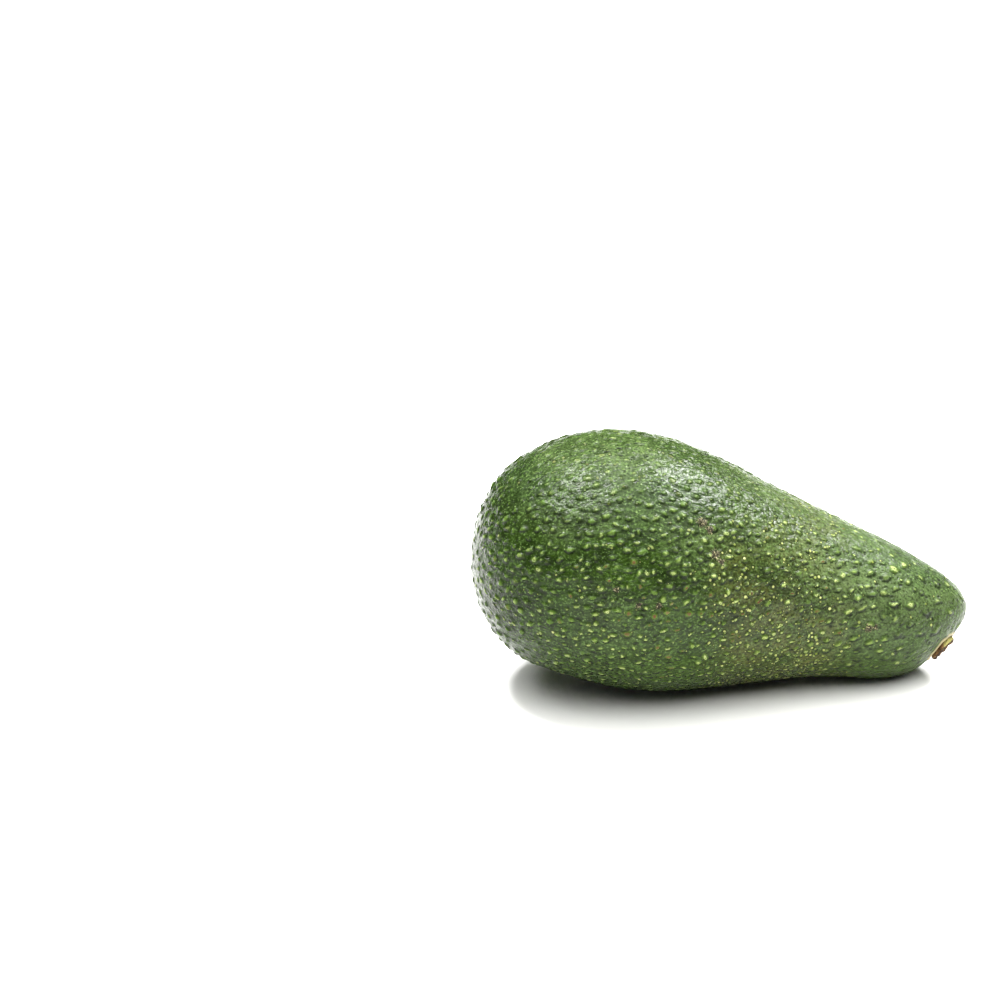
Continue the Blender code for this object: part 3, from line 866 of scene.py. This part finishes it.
crackle_at = add(tree, "Mapping", {"Vector": at, "Scale": (0.62, 0.95, 0.95)})
crackle = add(tree, "TexVoronoi", {"Vector": crackle_at, "Scale": 1.0}, feature="DISTANCE_TO_EDGE")
crackle = add(tree, "MapRange", {0: crackle, 1: 0.0, 2: 0.42})
leather_at = add(tree, "Mapping", {"Vector": at, "Scale": (0.75, 1.2, 1.2)})
leather_noise = add(tree, "TexNoise", {
    "Vector": leather_at, "Scale": 1.0, "Detail": 1.0, "Roughness": 0.5})
cracked = add(tree, "Math", {0: scab, 1: crack}, **TIMES)
height = add(tree, "Math", {0: crackle, 1: 0.30}, **TIMES)
for layer, much in (
    (leather_noise, 0.60), (grain, 0.42), (shares["nub"], 0.75), (shares["pore"], 0.25),
    (dot, 0.60), (cracked, 1.0), (pit, -0.70)):
    height = add(tree, "Math", {0: layer, 1: much, 2: height}, operation="MULTIPLY_ADD")
bump = add(tree, "Bump", {"Strength": 1.0, "Distance": 0.00020, "Height": height})
tree.links.new(bump, shader.inputs["Normal"])
peel.data.materials.append(peel_finish)
print("peel nodes", len(tree.nodes))

# %% [markdown]
# ### Dry stem wood with a corky rim
#
# Dead stalk wood is quite rough and has no shine. The side is yellow-green cork where the
# bark still holds and red-brown where it is torn off, the edge is dark and the torn face is
# red-brown.

# %% Stem finish
stem_finish, tree, shader, at = finish("dry corky stem wood")
face, rise = [
    add(tree, "Attribute", {}, "Fac", attribute_name=name) for name in ("face", "rise")]
strand = add(tree, "TexNoise", {"Vector": at, "Scale": 1.6, "Detail": 5.0, "Roughness": 0.7})
chip = add(tree, "TexNoise", {"Vector": at, "Scale": 4.2, "Detail": 3.0, "Roughness": 0.6})
wavy = add(tree, "Math", {0: strand, 1: 1.2, 2: rise}, operation="MULTIPLY_ADD")
side_mm = add(tree, "SeparateXYZ", {0: at})
# Towards the belly, from about x = 55 mm, the bark is torn off.
low_side = add(tree, "Math", {0: strand, 1: -2.4, 2: side_mm}, operation="MULTIPLY_ADD")
low_side = add(tree, "MapRange", {0: low_side, 1: 54.6, 2: 53.6}, **SOFT)
pale = add(tree, "MapRange", {0: strand, 1: 0.32, 2: 0.68}, **SOFT)
chipped = add(tree, "MapRange", {0: chip, 1: 0.58, 2: 0.75}, **SOFT)
edge = add(tree, "MapRange", {0: wavy, 1: 1.15, 2: 1.40}, **SOFT)
cork = add(tree, "Mix", {0: pale, 6: colour("#6d6a30"), 7: colour("#b3ab68")}, 2, **RGB)
torn = add(tree, "Mix", {0: pale, 6: colour("#2c1c0c"), 7: colour("#755632")}, 2, **RGB)
torn = add(tree, "Mix", {0: chipped, 6: torn, 7: colour("#b8935f")}, 2, **RGB)
cork = add(tree, "Mix", {0: low_side, 6: cork, 7: torn}, 2, **RGB)
base = add(tree, "Mix", {0: edge, 6: cork, 7: colour("#281a0e")}, 2, **RGB)
base = add(tree, "Mix", {0: face, 6: base, 7: torn}, 2, **RGB)
tree.links.new(base, shader.inputs["Base Color"])
shader.inputs["Roughness"].default_value = 0.86
shader.inputs["Specular IOR Level"].default_value = 0.3
height = add(tree, "Math", {0: strand, 1: chip}, **PLUS)
bump = add(tree, "Bump", {"Strength": 1.0, "Distance": 0.0002, "Height": height})
tree.links.new(bump, shader.inputs["Normal"])
button.data.materials.append(stem_finish)
print("stem nodes", len(tree.nodes))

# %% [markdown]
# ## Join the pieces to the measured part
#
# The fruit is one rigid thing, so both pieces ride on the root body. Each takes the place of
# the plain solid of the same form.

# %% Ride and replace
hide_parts("fruit")
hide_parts("stem_button")
for piece in (peel, button):
    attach(piece, "root")
print("pieces", peel.name, button.name)

# %% [markdown]
# ## Table, light and camera
#
# The table is a plain pale sheet, lit so strongly that it burns out to white a little way
# from the fruit. It isn't pure white, because what it throws back would flatten the pebbles
# from below. A wide panel overhead and a little in front gives the soft light. Two small
# lamps, one overhead to the left and one behind to the right, make the two broken highlights
# on the shoulder, and a weak one lifts the narrow end. The surround is dim, which keeps the
# sides of the fruit deep in colour.
#
# The camera stands 22 degrees above the table and 0.8 m away, a little to the left of square
# on. It is turned so that the middle of the fruit falls at its place in the picture.

# %% Table
# Matt paper is rough enough to show no sheen.
table_mesh = bpy.data.meshes.new("table")
bm = bmesh.new()
bmesh.ops.create_grid(bm, x_segments=1, y_segments=1, size=4.0)
bm.to_mesh(table_mesh)
bm.free()
table = bpy.data.objects.new("table", table_mesh)
bpy.context.scene.collection.objects.link(table)
table_finish, tree, shader, at = finish("matt pale paper")
shader.inputs["Base Color"].default_value = colour("#e9e9e6")
shader.inputs["Roughness"].default_value = 0.75
shader.inputs["Specular IOR Level"].default_value = 0.2
table.data.materials.append(table_finish)
print("table", [round(v, 1) for v in table.dimensions])

# %% Light
AIM = Vector((0.0, 0.0, 0.03))
LAMPS = (
    # name, turn and rise in degrees, distance and width in metres, power in watts
    ("sky_panel", -72.0, 79.0, 1.2, 2.1, 65.0),
    ("overhead", 159.0, 72.0, 1.1, 0.22, 29.0),
    ("behind_right", 33.0, 51.0, 1.1, 0.22, 28.0),
    ("right_fill", 14.0, 62.0, 1.2, 0.70, 1.2),
)


def soft_light(name, turn_deg, rise_deg, distance, size, power):
    """Square soft light in the given direction from the fruit, turned towards it."""
    turn, rise = math.radians(turn_deg), math.radians(rise_deg)
    flat = math.cos(rise)
    away = Vector((math.cos(turn) * flat, math.sin(turn) * flat, math.sin(rise)))
    data = bpy.data.lights.new(name, "AREA")
    data.size = size
    data.energy = power
    light = bpy.data.objects.new(name, data)
    light.location = AIM + away * distance
    light.rotation_euler = away.to_track_quat("Z", "Y").to_euler()
    bpy.context.scene.collection.objects.link(light)


for lamp in LAMPS:
    soft_light(*lamp)

# %% Surround
SURROUND_STRENGTH = 0.06
world = bpy.data.worlds.new("pale surround")
bpy.context.scene.world = world
world.use_nodes = True
world.node_tree.nodes["Background"].inputs["Color"].default_value = colour("#fbfcff")
world.node_tree.nodes["Background"].inputs["Strength"].default_value = SURROUND_STRENGTH
bpy.context.scene.view_settings.view_transform = "Standard"
bpy.context.scene.view_settings.look = "None"
print("surround", SURROUND_STRENGTH, bpy.context.scene.view_settings.view_transform)

# %% Camera
CAMERA_TURN, CAMERA_RISE, CAMERA_DISTANCE = math.radians(-5.9), math.radians(22.0), 0.8
SENSOR_MM = 36.0
FRAME_WIDTH = 0.25
FRAME_PIXELS = 1000.0
AIM_PIXEL = (719.5, 567.4)

back = Vector((math.sin(CAMERA_TURN) * math.cos(CAMERA_RISE),
               -math.cos(CAMERA_TURN) * math.cos(CAMERA_RISE), math.sin(CAMERA_RISE)))
right = Vector((math.cos(CAMERA_TURN), math.sin(CAMERA_TURN), 0.0))
up = back.cross(right)
look = -back * CAMERA_DISTANCE
look += right * (FRAME_PIXELS / 2 - AIM_PIXEL[0]) / FRAME_PIXELS * FRAME_WIDTH
look -= up * (FRAME_PIXELS / 2 - AIM_PIXEL[1]) / FRAME_PIXELS * FRAME_WIDTH
swing = (-back).rotation_difference(look.normalized()).to_matrix()
pose = Matrix((right, up, back)).transposed()
camera_data = bpy.data.cameras.new("camera")
camera_data.sensor_width = SENSOR_MM
camera_data.lens = SENSOR_MM * CAMERA_DISTANCE / FRAME_WIDTH
camera = bpy.data.objects.new("camera", camera_data)
camera.matrix_world = Matrix.Translation(AIM + back * CAMERA_DISTANCE) @ (swing @ pose).to_4x4()
bpy.context.scene.collection.objects.link(camera)
bpy.context.scene.camera = camera
print("camera at", [round(v, 3) for v in camera.matrix_world.translation], "lens", camera_data.lens)
